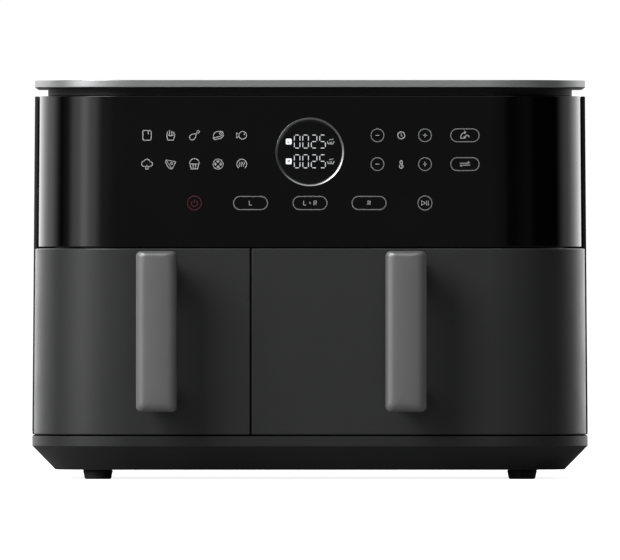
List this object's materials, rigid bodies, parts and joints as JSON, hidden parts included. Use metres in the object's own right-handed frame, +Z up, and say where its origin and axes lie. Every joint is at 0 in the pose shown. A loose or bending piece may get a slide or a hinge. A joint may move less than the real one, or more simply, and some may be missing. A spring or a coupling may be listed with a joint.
{
  "type": "air fryer",
  "caption": "Air fryer with side-by-side pull-out drawers, bar handles, a gloss touch panel with a round display, and a flat metal top plate.",
  "frame": {"origin": "middle of the footprint, on the surface that the feet stand on", "axes": "+X to the viewer's right across the width, -Y out of the drawer fronts, +Z up"},
  "size_m": [0.42, 0.396, 0.301],
  "materials": {
    "shell_plastic": "fine-textured black",
    "drawer_plastic": "satin charcoal",
    "handle_grey": "satin grey",
    "gloss_panel": "piano black",
    "lid_metal": "brushed grey",
    "bright_trim": "polished",
    "display_glass": "smoked",
    "rubber": "moulded",
    "circuit_board": "solder mask",
    "sheet_steel": "galvanised",
    "non_stick": "speckled non-stick coating",
    "silicone": "matt",
    "heater_steel": "heat-tinted",
    "motor_steel": "plated",
    "switch_plastic": "red",
    "panel_print": "printed pale grey",
    "power_print": "printed dark red",
    "display_light": "lit segments",
    "fastener": "black zinc"
  },
  "bodies": {
    "housing": {"outer_shell": "shell_plastic", "base_tray": "shell_plastic", "top_lid": "lid_metal", "intake_collar": "shell_plastic", "front_frame": "shell_plastic", "motor_deck": "sheet_steel", "power_board": "circuit_board", "cord_gland": "rubber", "rear_grille_left": "shell_plastic", "rear_grille_right": "shell_plastic", "foot_front_left": "rubber", "foot_front_right": "rubber", "foot_rear_left": "rubber", "foot_rear_right": "rubber", "control_panel": "gloss_panel", "display_ring": "bright_trim", "display_lens": "display_glass", "control_board": "circuit_board", "left_cavity_liner": "sheet_steel", "left_reflector": "sheet_steel", "left_heater": "heater_steel", "left_heater_guard": "bright_trim", "left_motor": "motor_steel", "left_microswitch": "shell_plastic", "left_temperature_probe": "bright_trim", "left_runner": "sheet_steel", "right_cavity_liner": "sheet_steel", "right_reflector": "sheet_steel", "right_heater": "heater_steel", "right_heater_guard": "bright_trim", "right_motor": "motor_steel", "right_microswitch": "shell_plastic", "right_temperature_probe": "bright_trim", "right_runner": "sheet_steel"},
    "left_drawer": {"left_drawer_front": "drawer_plastic", "left_drawer_back": "shell_plastic", "left_handle": "handle_grey", "left_pan": "non_stick"},
    "left_crisper": {"left_crisper_plate": "non_stick", "left_crisper_pad_front": "silicone", "left_crisper_pad_back": "silicone", "left_crisper_pad_left": "silicone", "left_crisper_pad_right": "silicone"},
    "left_fan": {"left_motor_shaft": "bright_trim", "left_convection_fan": "sheet_steel", "left_cooling_fan": "shell_plastic"},
    "left_switch": {"left_switch_plunger": "switch_plastic"},
    "right_drawer": {"right_drawer_front": "drawer_plastic", "right_drawer_back": "shell_plastic", "right_handle": "handle_grey", "right_pan": "non_stick"},
    "right_crisper": {"right_crisper_plate": "non_stick", "right_crisper_pad_front": "silicone", "right_crisper_pad_back": "silicone", "right_crisper_pad_left": "silicone", "right_crisper_pad_right": "silicone"},
    "right_fan": {"right_motor_shaft": "bright_trim", "right_convection_fan": "sheet_steel", "right_cooling_fan": "shell_plastic"},
    "right_switch": {"right_switch_plunger": "switch_plastic"}
  },
  "joints": [
    {"name": "left_drawer_slide", "type": "slide", "parent": "housing", "child": "left_drawer", "axis": [0, -1, 0], "range_m": [0, 0.28]},
    {"name": "left_crisper_lift", "type": "slide", "parent": "left_drawer", "child": "left_crisper", "axis": [0, 0, 1], "range_m": [0, 0.09]},
    {"name": "left_fan_spin", "type": "hinge", "parent": "housing", "child": "left_fan", "pos_m": [-0.11675, -0.00935, 0.24], "axis": [0, 0, 1], "continuous": true},
    {"name": "left_switch_press", "type": "slide", "parent": "housing", "child": "left_switch", "axis": [0, -1, 0], "range_m": [0, 0.0028]},
    {"name": "right_drawer_slide", "type": "slide", "parent": "housing", "child": "right_drawer", "axis": [0, -1, 0], "range_m": [0, 0.28]},
    {"name": "right_crisper_lift", "type": "slide", "parent": "right_drawer", "child": "right_crisper", "axis": [0, 0, 1], "range_m": [0, 0.09]},
    {"name": "right_fan_spin", "type": "hinge", "parent": "housing", "child": "right_fan", "pos_m": [0.07225, -0.00935, 0.24], "axis": [0, 0, 1], "continuous": true},
    {"name": "right_switch_press", "type": "slide", "parent": "housing", "child": "right_switch", "axis": [0, -1, 0], "range_m": [0, 0.0028]}
  ],
  "couplings": [
    {"joint": "left_switch_press", "follows": "left_drawer_slide", "ratio": 0.01},
    {"joint": "right_switch_press", "follows": "right_drawer_slide", "ratio": 0.01}
  ]
}
